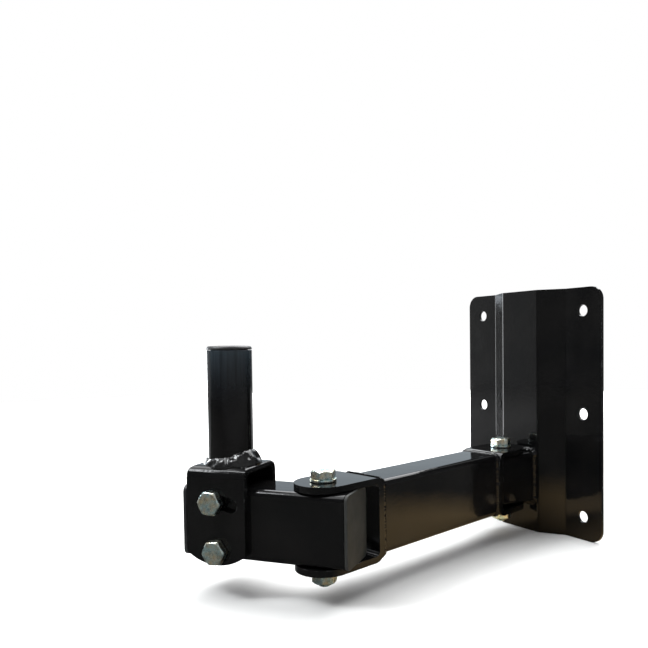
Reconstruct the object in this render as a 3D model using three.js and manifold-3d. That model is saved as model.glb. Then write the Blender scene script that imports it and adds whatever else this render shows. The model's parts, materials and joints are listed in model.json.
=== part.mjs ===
// Articulated wall bracket with a vertical 35 mm spigot.
// Units are millimetres, +Z is up, the wall is the plane y = 0 and the bracket
// stands off it towards -Y. The origin is the centre of the plate's back face.
import * as THREE from 'three';
import { mergeVertices } from 'three/addons/utils/BufferGeometryUtils.js';
import Module from 'manifold-3d';

const wasm = await Module();
wasm.setup();

// ---------------------------------------------------------------- dimensions
const GAP = 0.3; // clearance kept between pieces that touch
const BEND_STEPS = 4; // facets in each press-brake bend
const ROUND = 28; // facets of a bore or shank
const POLE_ROUND = 48;
const OVERRUN = 10; // how far a cutting tool runs past the stock

// pressed wall plate with a raised trapezoidal ridge
const PLATE_W = 174;
const PLATE_H = 240;
const PLATE_T = 3;
const PLATE_CORNER_R = 12;
const FLANGE_W = 41;
const RIDGE_HALF = 23;
const RIDGE_RAISE = 14;
const PLATE_BEND_R = 4.5;
const FIXING_X = 66;
const FIXING_Z = 98;
const FIXING_D = 11;

// levels and pivots
const ARM_Z = -65; // centre line of both arms below the middle of the plate
const WALL_PIVOT = 44.5; // wall hinge in front of the wall
const INNER_REACH = 234; // wall hinge to elbow hinge
const SPIGOT_X = 78; // elbow hinge to the spigot's centre line
const INNER_YAW = 10.5; // degrees from straight out, towards +X
const OUTER_YAW = -54; // degrees from straight out, towards -X

// square stub on the plate that the wall hinge turns on
const STUB_W = 40;
const STUB_H = 49.4;
const STUB_WALL = 3;
const STUB_NOSE = 20; // past the hinge line

// arm tubes
const TUBE_W = 40;
const INNER_H = 58;
const OUTER_H = 54;
const TUBE_WALL = 2.5;
const TUBE_R = 5;
const OUTER_HEEL = 26.5; // outer arm behind the elbow hinge
const OUTER_TIP = 108.7; // outer arm in front of the elbow hinge
const CAP_T = 2.5;
const PLUG_DEPTH = 12;
const PLUG_CLEAR = 0.4;

// U-shaped hinge straps
const STRAP_T = 5;
const STRAP_HALF_W = 22;
const STRAP_BEND_R = 6;
const WALL_STRAP_H = 60;
const ELBOW_STRAP_H = 65;
const WALL_STRAP_WEB = 30; // hinge line to the inside of the web
const ELBOW_STRAP_WEB = 37;

// weld legs: out from the tube's sides, out from its top and bottom, along the tube
const STUB_WELD = { side: 2.4, top: 4.5, along: 4 };
const WALL_STRAP_WELD = { side: 1.6, top: 0.9, along: 3 };
const ELBOW_STRAP_WELD = { side: 1.6, top: 3, along: 4 };

// M10 fasteners
const BOLT_D = 10;
const BORE_D = 10.6;
const HEX_AF = 17;
const HEAD_H = 6.4;
const NUT_H = 8;
const HEX_CHAMFER = 0.9;
const HEX_FACE_D = 16.3; // round face left by the chamfer
const WASHER_D = 20;
const WASHER_T = 2;
const BOLT_PROUD = 2.5; // thread showing past the nut
const SLEEVE_D = 16;

// tilting head, an inverted U over the end of the outer arm
const HEAD_T = 4.5;
const HEAD_BEND_R = 6.25;
const HEAD_TOP = 43; // above the arm centre line
const HEAD_BOTTOM = -30.5;
const HEAD_REAR = 25.5; // cheek edge towards the elbow, from the spigot's centre line
const HEAD_FRONT = 24;
const HEAD_BOTTOM_R = 40;
const HEAD_CORNER_R = 4;
const PIVOT_BOLT = new THREE.Vector2(76.6, -20); // x from the elbow hinge, z from the arm
const LOCK_BOLT = new THREE.Vector2(79.6, 17);
const TILT_MAX = 24; // degrees of arc slot
const SLOT_W = 10.8;

// spigot
const POLE_D = 35;
const POLE_WALL = 2.5;
const POLE_TOP = 134; // above the arm centre line
const POLE_CAP_T = 3.2;
const POLE_CAP_EDGE_R = 2.4;

// weld round the spigot's foot: lightest at the front, heaviest towards the elbow
const SPIGOT_WELD_STATIONS = 48;
const SPIGOT_WELD_LEG = [3.6, 6.8];
const SPIGOT_WELD_CROWN = [4, 10];

// ----------------------------------------------------------------- materials
const paint = (name) => finish(name, 0x101113, 0.28, 0.35);
const zinc = (name) => finish(name, 0xb8bcc2, 0.34, 1);
const plastic = (name) => finish(name, 0x191a1b, 0.5, 0);

function finish(name, color, roughness, metalness) {
  return new THREE.MeshStandardMaterial({ name, color, roughness, metalness });
}

// ------------------------------------------------------------- solid helpers
function solid(geometry) {
  const bare = geometry.clone();
  bare.deleteAttribute('normal');
  bare.deleteAttribute('uv');
  const welded = mergeVertices(bare, 1e-4);
  return new wasm.Manifold(new wasm.Mesh({
    numProp: 3,
    vertProperties: new Float32Array(welded.attributes.position.array),
    triVerts: new Uint32Array(welded.index.array),
  }));
}

function meshOf(name, body, material) {
  const data = body.getMesh();
  const geometry = new THREE.BufferGeometry();
  geometry.setAttribute('position', new THREE.BufferAttribute(data.vertProperties, 3));
  geometry.setIndex(new THREE.BufferAttribute(data.triVerts, 1));
  geometry.computeVertexNormals();
  const mesh = new THREE.Mesh(geometry, material(name));
  mesh.name = name;
  return mesh;
}

const radians = (degrees) => THREE.MathUtils.degToRad(degrees);

// A polyline whose inner corners are replaced by arcs of one radius.
function bentLine(corners, radius) {
  const points = [corners[0].clone()];
  for (let i = 1; i < corners.length - 1; i += 1) {
    const into = corners[i].clone().sub(corners[i - 1]).normalize();
    const out = corners[i + 1].clone().sub(corners[i]).normalize();
    const turn = Math.atan2(into.cross(out), into.dot(out));
    const side = Math.sign(turn);
    const start = corners[i].clone().addScaledVector(into, -radius * Math.tan(Math.abs(turn) / 2));
    const centre = start.clone().add(new THREE.Vector2(-into.y, into.x).multiplyScalar(side * radius));
    for (let k = 0; k <= BEND_STEPS; k += 1) {
      points.push(start.clone().rotateAround(centre, (turn * k) / BEND_STEPS));
    }
  }
  points.push(corners[corners.length - 1].clone());
  return points;
}

// Outline of sheet metal of a given thickness that follows a centre line.
function sheetShape(line, thickness) {
  const normalAt = line.map((point, i) => {
    const before = line[Math.max(i - 1, 0)];
    const after = line[Math.min(i + 1, line.length - 1)];
    const a = point.clone().sub(before).normalize();
    const b = after.clone().sub(point).normalize();
    const along = a.clone().add(b).normalize();
    const stretch = i === 0 || i === line.length - 1 ? 1 : 1 / Math.sqrt((1 + a.dot(b)) / 2);
    return new THREE.Vector2(-along.y, along.x).multiplyScalar(stretch);
  });
  const left = line.map((point, i) => point.clone().addScaledVector(normalAt[i], thickness / 2));
  const right = line.map((point, i) => point.clone().addScaledVector(normalAt[i], -thickness / 2));
  return new THREE.Shape([...left, ...right.reverse()]);
}

function roundedRect(x0, y0, x1, y1, r) {
  const shape = new THREE.Shape();
  shape.moveTo(x0 + r, y0);
  shape.lineTo(x1 - r, y0);
  shape.absarc(x1 - r, y0 + r, r, -Math.PI / 2, 0, false);
  shape.lineTo(x1, y1 - r);
  shape.absarc(x1 - r, y1 - r, r, 0, Math.PI / 2, false);
  shape.lineTo(x0 + r, y1);
  shape.absarc(x0 + r, y1 - r, r, Math.PI / 2, Math.PI, false);
  shape.lineTo(x0, y0 + r);
  shape.absarc(x0 + r, y0 + r, r, Math.PI, 1.5 * Math.PI, false);
  return shape;
}

function extrude(shape, depth, steps = 4) {
  return new THREE.ExtrudeGeometry(shape, { depth, bevelEnabled: false, curveSegments: steps });
}

// Shapes drawn in (x, z) and thickened evenly to both sides of y = 0.
function slabAcrossY(shape, width, steps) {
  return extrude(shape, width, steps).translate(0, 0, -width / 2).rotateX(Math.PI / 2);
}

// Shapes drawn in (y, z) and run along x from x0 to x1.
function barAlongX(shape, x0, x1, steps) {
  return extrude(shape, x1 - x0, steps).rotateZ(Math.PI / 2).rotateY(Math.PI / 2)
    .translate(x0, 0, 0);
}

function rodZ(diameter, z0, z1, x = 0) {
  return new THREE.CylinderGeometry(diameter / 2, diameter / 2, z1 - z0, ROUND)
    .rotateX(Math.PI / 2).translate(x, 0, (z0 + z1) / 2);
}

function rodY(diameter, length, x, z) {
  return new THREE.CylinderGeometry(diameter / 2, diameter / 2, length, ROUND)
    .translate(x, 0, z);
}

function tubeFace(width, height) {
  return roundedRect(-width / 2, -height / 2, width / 2, height / 2, TUBE_R);
}

// Rectangular tube along x with a rounded outside and inside.
function rectTube(width, height, wall, x0, x1) {
  const outer = tubeFace(width, height);
  const bore = roundedRect(-width / 2 + wall, -height / 2 + wall,
    width / 2 - wall, height / 2 - wall, TUBE_R - wall);
  return solid(barAlongX(outer, x0, x1)).subtract(
    solid(barAlongX(bore, x0 - OVERRUN, x1 + OVERRUN)));
}

// Closed fillet that follows a loop of {point, out} pairs. At each station the
// section is a triangle: root, toe (away from the loop) and crown (along the axis).
function filletLoop(stations) {
  const positions = [];
  const indices = [];
  const count = stations.length;
  stations.forEach(({ root, toe, crown }, i) => {
    positions.push(...root.toArray(), ...toe.toArray(), ...crown.toArray());
    const here = i * 3;
    const next = ((i + 1) % count) * 3;
    for (let k = 0; k < 3; k += 1) {
      const a = here + k;
      const b = here + ((k + 1) % 3);
      const c = next + k;
      const d = next + ((k + 1) % 3);
      indices.push(a, c, b, b, c, d);
    }
  });
  const geometry = new THREE.BufferGeometry();
  geometry.setAttribute('position', new THREE.Float32BufferAttribute(positions, 3));
  geometry.setIndex(indices);
  return solid(geometry);
}

// Fillet round a rectangular tube where it meets a flat face at x = faceX.
// side is +1 when the tube leaves the face towards +x.
function tubeFillet(height, faceX, side, legs) {
  const outline = roundedRect(-TUBE_W / 2 - GAP, -height / 2 - GAP,
    TUBE_W / 2 + GAP, height / 2 + GAP, TUBE_R + GAP).getPoints(3);
  outline.pop();
  const stations = outline.map((p, i) => {
    const before = outline[(i + outline.length - 1) % outline.length];
    const after = outline[(i + 1) % outline.length];
    const along = after.clone().sub(before).normalize();
    const out = new THREE.Vector2(along.y, -along.x);
    const leg = Math.abs(out.x) * legs.side + Math.abs(out.y) * legs.top;
    const x = faceX + side * GAP;
    return {
      root: new THREE.Vector3(x, p.x, p.y),
      toe: new THREE.Vector3(x, p.x + out.x * leg, p.y + out.y * leg),
      crown: new THREE.Vector3(x + side * legs.along, p.x, p.y),
    };
  });
  return filletLoop(side > 0 ? stations : stations.reverse());
}

// ------------------------------------------------------------------ fasteners
// Hexagon along z from z0 to z1, edges broken at the ends that are named.
function hexBody(z0, z1, chamferLow, chamferHigh) {
  const corner = HEX_AF / Math.sqrt(3);
  const face = HEX_FACE_D / 2;
  const rim = corner + GAP;
  const profile = [new THREE.Vector2(0, z0)];
  if (chamferLow) profile.push(new THREE.Vector2(face, z0), new THREE.Vector2(rim, z0 + HEX_CHAMFER));
  else profile.push(new THREE.Vector2(rim, z0));
  if (chamferHigh) profile.push(new THREE.Vector2(rim, z1 - HEX_CHAMFER), new THREE.Vector2(face, z1));
  else profile.push(new THREE.Vector2(rim, z1));
  profile.push(new THREE.Vector2(0, z1));
  const turned = new THREE.LatheGeometry(profile, 24).rotateX(Math.PI / 2);
  const prism = new THREE.CylinderGeometry(corner, corner, z1 - z0 + OVERRUN, 6)
    .rotateX(Math.PI / 2).translate(0, 0, (z0 + z1) / 2);
  return solid(turned).intersect(solid(prism));
}

// Bolt, washers and nut along z; the clamped stack lies between -half and +half,
// the head is on the +z side.
function boltSet(prefix, half, withHeadWasher) {
  const set = new THREE.Group();
  const seat = half + GAP + (withHeadWasher ? WASHER_T + GAP : 0);
  const nutTop = -half - GAP - WASHER_T - GAP;
  const tip = nutTop - NUT_H - BOLT_PROUD;
  const shank = solid(rodZ(BOLT_D, tip, seat + HEAD_H / 2));
  set.add(meshOf(`${prefix}_bolt`, hexBody(seat, seat + HEAD_H, false, true).add(shank), zinc));
  const ring = (z0) => solid(rodZ(WASHER_D, z0, z0 + WASHER_T))
    .subtract(solid(rodZ(BORE_D, z0 - 1, z0 + WASHER_T + 1)));
  if (withHeadWasher) set.add(meshOf(`${prefix}_head_washer`, ring(half + GAP), zinc));
  set.add(meshOf(`${prefix}_nut_washer`, ring(nutTop + GAP), zinc));
  const nut = hexBody(nutTop - NUT_H, nutTop, true, true)
    .subtract(solid(rodZ(BORE_D, nutTop - NUT_H - 1, nutTop + 1)));
  set.add(meshOf(`${prefix}_nut`, nut, zinc));
  return set;
}

function pivotSleeve(name, boreHeight) {
  const half = boreHeight / 2 - GAP;
  return meshOf(name, solid(rodZ(SLEEVE_D, -half, half))
    .subtract(solid(rodZ(BORE_D, -half - 1, half + 1))), zinc);
}

// ----------------------------------------------------------------- wall plate
function wallPlate() {
  const mid = -PLATE_T / 2;
  const foot = PLATE_W / 2 - FLANGE_W;
  const corners = [
    [PLATE_W / 2, mid], [foot, mid], [RIDGE_HALF, mid - RIDGE_RAISE],
    [-RIDGE_HALF, mid - RIDGE_RAISE], [-foot, mid], [-PLATE_W / 2, mid],
  ].map(([x, y]) => new THREE.Vector2(x, y));
  const pressed = extrude(sheetShape(bentLine(corners, PLATE_BEND_R), PLATE_T), PLATE_H)
    .translate(0, 0, -PLATE_H / 2);
  const blank = slabAcrossY(roundedRect(-PLATE_W / 2, -PLATE_H / 2, PLATE_W / 2, PLATE_H / 2,
    PLATE_CORNER_R), 4 * RIDGE_RAISE, 6);
  let body = solid(pressed).intersect(solid(blank));
  for (const x of [-FIXING_X, FIXING_X]) {
    for (const z of [-FIXING_Z, 0, FIXING_Z]) {
      body = body.subtract(solid(rodY(FIXING_D, OVERRUN, x, z)));
    }
  }
  return meshOf('wall_plate', body, paint);
}

// Stub on the ridge; local x runs out from the wall with the hinge at x = 0.
function wallStub() {
  const ridgeFace = PLATE_T + RIDGE_RAISE - WALL_PIVOT;
  const stub = rectTube(STUB_W, STUB_H, STUB_WALL, ridgeFace + GAP, STUB_NOSE - CAP_T - GAP)
    .subtract(solid(rodZ(BORE_D, -STUB_H, STUB_H)));
  const group = new THREE.Group();
  group.add(meshOf('wall_stub', stub, paint));
  group.add(meshOf('wall_stub_cap',
    solid(barAlongX(tubeFace(STUB_W, STUB_H), STUB_NOSE - CAP_T, STUB_NOSE)), paint));
  group.add(meshOf('wall_stub_weld', tubeFillet(STUB_H, ridgeFace, 1, STUB_WELD), paint));
  group.add(pivotSleeve('wall_sleeve', STUB_H - 2 * STUB_WALL));
  group.position.set(0, -WALL_PIVOT, ARM_Z);
  group.rotation.z = -Math.PI / 2;
  return group;
}

// --------------------------------------------------------------- hinge straps
// U strap with its web on the +x side of a vertical hinge at the origin.
function hingeStrap(outerHeight, web) {
  const level = (outerHeight - STRAP_T) / 2;
  const corners = [
    [-STRAP_HALF_W, level], [web + STRAP_T / 2, level],
    [web + STRAP_T / 2, -level], [-STRAP_HALF_W, -level],
  ].map(([x, z]) => new THREE.Vector2(x, z));
  const bent = solid(slabAcrossY(sheetShape(bentLine(corners, STRAP_BEND_R), STRAP_T),
    2 * STRAP_HALF_W));
  const plan = new THREE.Shape();
  plan.moveTo(0, -STRAP_HALF_W);
  plan.lineTo(web + STRAP_T, -STRAP_HALF_W);
  plan.lineTo(web + STRAP_T, STRAP_HALF_W);
  plan.lineTo(0, STRAP_HALF_W);
  plan.absarc(0, 0, STRAP_HALF_W, Math.PI / 2, 1.5 * Math.PI, false);
  const outline = solid(extrude(plan, 2 * outerHeight, 20).translate(0, 0, -outerHeight));
  return bent.intersect(outline).subtract(solid(rodZ(BORE_D, -outerHeight, outerHeight)));
}

// ------------------------------------------------------------------ inner arm
// Local x runs from the wall hinge (x = 0) to the elbow hinge.
function innerArm() {
  const nearWall = WALL_STRAP_WEB + STRAP_T;
  const nearElbow = INNER_REACH - ELBOW_STRAP_WEB - STRAP_T;
  const group = new THREE.Group();
  group.add(meshOf('inner_arm_tube',
    rectTube(TUBE_W, INNER_H, TUBE_WALL, nearWall + GAP, nearElbow - GAP), paint));
  group.add(meshOf('wall_strap', hingeStrap(WALL_STRAP_H, WALL_STRAP_WEB), paint));
  const elbow = meshOf('elbow_strap', hingeStrap(ELBOW_STRAP_H, ELBOW_STRAP_WEB), paint);
  elbow.position.x = INNER_REACH;
  elbow.rotation.z = Math.PI;
  group.add(elbow);
  group.add(meshOf('wall_strap_weld', tubeFillet(INNER_H, nearWall, 1, WALL_STRAP_WELD), paint));
  group.add(meshOf('elbow_strap_weld', tubeFillet(INNER_H, nearElbow, -1, ELBOW_STRAP_WELD), paint));
  group.add(boltSet('wall', WALL_STRAP_H / 2, true));
  const elbowSet = boltSet('elbow', ELBOW_STRAP_H / 2, true);
  elbowSet.position.x = INNER_REACH;
  group.add(elbowSet);
  group.position.set(0, -WALL_PIVOT, ARM_Z);
  group.rotation.z = radians(INNER_YAW - 90);
  return group;
}

// ------------------------------------------------------------------ outer arm
// Local x runs outwards from the elbow hinge (x = 0).
function outerArm() {
  const heel = -OUTER_HEEL + CAP_T + GAP;
  const tip = OUTER_TIP - CAP_T - GAP;
  const group = new THREE.Group();
  let tube = rectTube(TUBE_W, OUTER_H, TUBE_WALL, heel, tip)
    .subtract(solid(rodZ(BORE_D, -OUTER_H, OUTER_H)));
  for (const bolt of [PIVOT_BOLT, LOCK_BOLT]) {
    tube = tube.subtract(solid(rodY(BORE_D, 2 * TUBE_W, bolt.x, bolt.y)));
  }
  group.add(meshOf('outer_arm_tube', tube, paint));
  const face = tubeFace(TUBE_W, OUTER_H);
  group.add(meshOf('outer_heel_cap',
    solid(barAlongX(face, -OUTER_HEEL, -OUTER_HEEL + CAP_T)), paint));
  const inset = TUBE_WALL + PLUG_CLEAR;
  const core = roundedRect(-TUBE_W / 2 + inset, -OUTER_H / 2 + inset,
    TUBE_W / 2 - inset, OUTER_H / 2 - inset, TUBE_R - inset);
  const plug = solid(barAlongX(face, OUTER_TIP - CAP_T, OUTER_TIP))
    .add(solid(barAlongX(core, tip - PLUG_DEPTH, OUTER_TIP - CAP_T / 2)));
  group.add(meshOf('outer_tip_plug', plug, plastic));
  group.add(pivotSleeve('elbow_sleeve', OUTER_H - 2 * TUBE_WALL));
  const cheekFace = TUBE_W / 2 + GAP + HEAD_T;
  for (const [prefix, bolt] of [['tilt_pivot', PIVOT_BOLT], ['tilt_lock', LOCK_BOLT]]) {
    const set = boltSet(prefix, cheekFace, false);
    set.rotation.x = -Math.PI / 2;
    set.position.set(bolt.x, 0, bolt.y);
    group.add(set);
  }
  return group;
}

// ----------------------------------------------------------------- tilt head
// Arc slot drawn in (x, z) about the tilt pivot, from upright to TILT_MAX.
function arcSlot() {
  const toLock = LOCK_BOLT.clone().sub(PIVOT_BOLT);
  const pitch = toLock.length();
  const start = toLock.angle();
  const end = start + radians(TILT_MAX);
  const r = SLOT_W / 2;
  const tipAt = (angle) => new THREE.Vector2(pitch, 0).rotateAround(new THREE.Vector2(), angle)
    .add(PIVOT_BOLT).toArray();
  const slot = new THREE.Shape();
  slot.absarc(...PIVOT_BOLT.toArray(), pitch + r, start, end, false);
  slot.absarc(...tipAt(end), r, end, end + Math.PI, false);
  slot.absarc(...PIVOT_BOLT.toArray(), pitch - r, end, start, true);
  slot.absarc(...tipAt(start), r, start + Math.PI, start + 2 * Math.PI, false);
  return slot;
}

function cheekOutline() {
  const x0 = SPIGOT_X - HEAD_REAR;
  const x1 = SPIGOT_X + HEAD_FRONT;
  const middle = (x0 + x1) / 2;
  const sweep = Math.asin((x1 - x0) / 2 / HEAD_BOTTOM_R);
  const c = HEAD_CORNER_R;
  const outline = new THREE.Shape();
  outline.absarc(middle, HEAD_BOTTOM + HEAD_BOTTOM_R, HEAD_BOTTOM_R,
    -Math.PI / 2 - sweep, -Math.PI / 2 + sweep, false);
  outline.lineTo(x1, HEAD_TOP - c);
  outline.absarc(x1 - c, HEAD_TOP - c, c, 0, Math.PI / 2, false);
  outline.lineTo(x0 + c, HEAD_TOP);
  outline.absarc(x0 + c, HEAD_TOP - c, c, Math.PI / 2, Math.PI, false);
  return outline;
}

function tiltHead() {
  const side = TUBE_W / 2 + GAP + HEAD_T / 2;
  const corners = [
    [side, HEAD_BOTTOM - OVERRUN], [side, HEAD_TOP - HEAD_T / 2],
    [-side, HEAD_TOP - HEAD_T / 2], [-side, HEAD_BOTTOM - OVERRUN],
  ].map(([y, z]) => new THREE.Vector2(y, z));
  const bent = barAlongX(sheetShape(bentLine(corners, HEAD_BEND_R), HEAD_T),
    SPIGOT_X - HEAD_REAR - OVERRUN, SPIGOT_X + HEAD_FRONT + OVERRUN);
  const body = solid(bent)
    .intersect(solid(slabAcrossY(cheekOutline(), 2 * TUBE_W, 10)))
    .subtract(solid(rodY(BORE_D, 2 * TUBE_W, PIVOT_BOLT.x, PIVOT_BOLT.y)))
    .subtract(solid(slabAcrossY(arcSlot(), 2 * TUBE_W, 10)));
  return meshOf('tilt_head', body, paint);
}

// Height of the head's outside surface at a distance y from its centre line.
function headSurface(y) {
  const outerR = HEAD_BEND_R + HEAD_T / 2;
  const flat = TUBE_W / 2 + GAP + HEAD_T - outerR;
  const over = Math.max(Math.abs(y) - flat, 0);
  return HEAD_TOP - outerR + Math.sqrt(outerR * outerR - over * over);
}

// Weld round the foot of the spigot, heavier towards the elbow.
function spigotWeld() {
  const stations = [];
  const r = POLE_D / 2 + GAP;
  for (let i = 0; i < SPIGOT_WELD_STATIONS; i += 1) {
    const angle = (2 * Math.PI * i) / SPIGOT_WELD_STATIONS;
    const weight = ((1 - Math.cos(angle)) / 2) ** 2;
    const leg = THREE.MathUtils.lerp(...SPIGOT_WELD_LEG, weight);
    const rise = THREE.MathUtils.lerp(...SPIGOT_WELD_CROWN, weight);
    const at = (radius) => [SPIGOT_X + radius * Math.cos(angle), radius * Math.sin(angle)];
    const [rx, ry] = at(r);
    const [tx, ty] = at(r + leg);
    stations.push({
      root: new THREE.Vector3(rx, ry, headSurface(ry) + GAP),
      toe: new THREE.Vector3(tx, ty, headSurface(ty) + 3 * GAP),
      crown: new THREE.Vector3(rx, ry, HEAD_TOP + GAP + rise),
    });
  }
  return meshOf('spigot_weld', filletLoop(stations), paint);
}

function spigot() {
  const group = new THREE.Group();
  const top = POLE_TOP - POLE_CAP_T - GAP;
  const bore = POLE_D - 2 * POLE_WALL;
  const tube = solid(rodPole(POLE_D, HEAD_TOP + GAP, top))
    .subtract(solid(rodPole(bore, HEAD_TOP - OVERRUN, top + OVERRUN)));
  group.add(meshOf('spigot_tube', tube, paint));
  const profile = [[0, top + GAP], [POLE_D / 2 - GAP, top + GAP]];
  for (let k = 0; k <= BEND_STEPS; k += 1) {
    const angle = (Math.PI / 2) * (k / BEND_STEPS);
    profile.push([POLE_D / 2 - POLE_CAP_EDGE_R + POLE_CAP_EDGE_R * Math.cos(angle),
      POLE_TOP - POLE_CAP_EDGE_R + POLE_CAP_EDGE_R * Math.sin(angle)]);
  }
  profile.push([0, POLE_TOP]);
  const lid = new THREE.LatheGeometry(profile.map(([x, y]) => new THREE.Vector2(x, y)), POLE_ROUND)
    .rotateX(Math.PI / 2).translate(SPIGOT_X, 0, 0);
  const stem = rodPole(bore - 2 * PLUG_CLEAR, top - PLUG_DEPTH, POLE_TOP - POLE_CAP_T / 2);
  group.add(meshOf('spigot_cap', solid(lid).add(solid(stem)), plastic));
  group.add(spigotWeld());
  return group;
}

function rodPole(diameter, z0, z1) {
  return new THREE.CylinderGeometry(diameter / 2, diameter / 2, z1 - z0, POLE_ROUND)
    .rotateX(Math.PI / 2).translate(SPIGOT_X, 0, (z0 + z1) / 2);
}

// ------------------------------------------------------------------- assembly
const bracket = new THREE.Group();
bracket.name = 'wall_bracket';
bracket.add(wallPlate(), wallStub(), innerArm());

const outer = new THREE.Group();
outer.add(outerArm(), tiltHead(), spigot());
const innerHeading = radians(INNER_YAW - 90);
outer.position.set(INNER_REACH * Math.cos(innerHeading),
  INNER_REACH * Math.sin(innerHeading) - WALL_PIVOT, ARM_Z);
outer.rotation.z = radians(OUTER_YAW - 90);
bracket.add(outer);

export default bracket;
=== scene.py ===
import json
import math

import bmesh
import bpy
from mathutils import Matrix, Vector, noise


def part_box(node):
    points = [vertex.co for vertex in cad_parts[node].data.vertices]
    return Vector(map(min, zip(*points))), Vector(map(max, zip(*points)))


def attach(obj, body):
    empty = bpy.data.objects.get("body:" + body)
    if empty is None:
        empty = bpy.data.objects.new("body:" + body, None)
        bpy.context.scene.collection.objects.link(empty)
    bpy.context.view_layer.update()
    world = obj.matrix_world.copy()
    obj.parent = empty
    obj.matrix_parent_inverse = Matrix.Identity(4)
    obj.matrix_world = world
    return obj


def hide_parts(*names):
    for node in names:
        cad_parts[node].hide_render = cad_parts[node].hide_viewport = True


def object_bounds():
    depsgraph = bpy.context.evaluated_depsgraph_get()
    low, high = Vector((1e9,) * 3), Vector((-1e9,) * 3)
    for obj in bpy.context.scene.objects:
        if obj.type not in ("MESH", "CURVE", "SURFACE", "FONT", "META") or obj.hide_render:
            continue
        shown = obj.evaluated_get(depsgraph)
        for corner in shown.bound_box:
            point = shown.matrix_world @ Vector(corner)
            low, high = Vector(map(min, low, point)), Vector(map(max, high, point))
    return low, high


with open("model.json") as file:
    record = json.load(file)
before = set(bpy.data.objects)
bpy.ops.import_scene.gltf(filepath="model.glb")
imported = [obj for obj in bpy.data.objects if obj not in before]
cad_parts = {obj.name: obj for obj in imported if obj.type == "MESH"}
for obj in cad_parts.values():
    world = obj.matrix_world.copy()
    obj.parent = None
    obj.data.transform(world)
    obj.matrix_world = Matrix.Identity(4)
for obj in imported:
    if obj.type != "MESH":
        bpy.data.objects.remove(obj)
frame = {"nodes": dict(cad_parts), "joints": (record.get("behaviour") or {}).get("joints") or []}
cad_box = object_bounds()

# ------------------------------------------------------------------ layout
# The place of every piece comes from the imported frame: the joints give the hinge
# lines, and the CAD nodes' own meshes give the extents along any direction.
MM = 0.001
UP = Vector((0, 0, 1))
OUTWARD = Vector((0, -1, 0))
JOINTS = {joint["name"]: joint for joint in frame["joints"]}
WALL_HINGE = Vector(JOINTS["wall_swivel"]["pos_m"])
ELBOW_HINGE = Vector(JOINTS["elbow_swivel"]["pos_m"])
TILT_PIVOT = Vector(JOINTS["head_tilt"]["pos_m"])
TILT_AXIS = Vector(JOINTS["head_tilt"]["axis"]).normalized()
INNER_DIR = (ELBOW_HINGE - WALL_HINGE).normalized()
OUTER_DIR = Vector((TILT_PIVOT.x - ELBOW_HINGE.x, TILT_PIVOT.y - ELBOW_HINGE.y, 0)).normalized()


def span(node, direction):
    """Lowest and highest reach of a CAD node along a direction, in metres from the origin."""
    reach = [vertex.co.dot(direction) for vertex in frame["nodes"][node].data.vertices]
    return min(reach), max(reach)


def middle(node, direction):
    """Halfway between the two reaches of a CAD node along a direction."""
    return sum(span(node, direction)) / 2


def axes(origin, x, y, z):
    """Matrix that takes local coordinates to the shared frame."""
    return Matrix.Translation(origin) @ Matrix((x, y, z)).transposed().to_4x4()


# ------------------------------------------------------------------ camera
CAMERA_PLACE = Vector((0.46282, -0.52251, 0.06915))
CAMERA_YAW, CAMERA_PITCH, CAMERA_ROLL = (math.radians(v) for v in (55.256, -1.856, -0.686))
CAMERA_LENS = 36.62  # millimetres, as the sensor's width is
CAMERA_SENSOR = 36
CAMERA_SHIFT = (-0.071, 0.0633)


def make_camera():
    """The camera at the viewing angle, shifted as the framing needs."""
    data = bpy.data.cameras.new("camera")
    camera = bpy.data.objects.new("camera", data)
    bpy.context.collection.objects.link(camera)
    bpy.context.scene.camera = camera
    ahead = Vector((-math.sin(CAMERA_YAW) * math.cos(CAMERA_PITCH),
                    math.cos(CAMERA_YAW) * math.cos(CAMERA_PITCH), math.sin(CAMERA_PITCH)))
    right = Vector((math.cos(CAMERA_YAW), math.sin(CAMERA_YAW), 0))
    above = right.cross(ahead)
    cos_roll, sin_roll = math.cos(CAMERA_ROLL), math.sin(CAMERA_ROLL)
    camera.matrix_world = axes(CAMERA_PLACE, right * cos_roll + above * sin_roll,
                               above * cos_roll - right * sin_roll, -ahead)
    data.sensor_width = CAMERA_SENSOR
    data.lens = CAMERA_LENS
    data.shift_x, data.shift_y = CAMERA_SHIFT


make_camera()


# --------------------------------------------------------------- materials
COLOUR_A, COLOUR_B, COLOUR_OUT = 6, 7, 2  # where a Mix node has its colour sockets
EDGE_SAMPLES = 6
EDGE_LEAN = (0.995, 0.86)  # cosines of the lean at which the edge mask is 0 and 1


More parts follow.
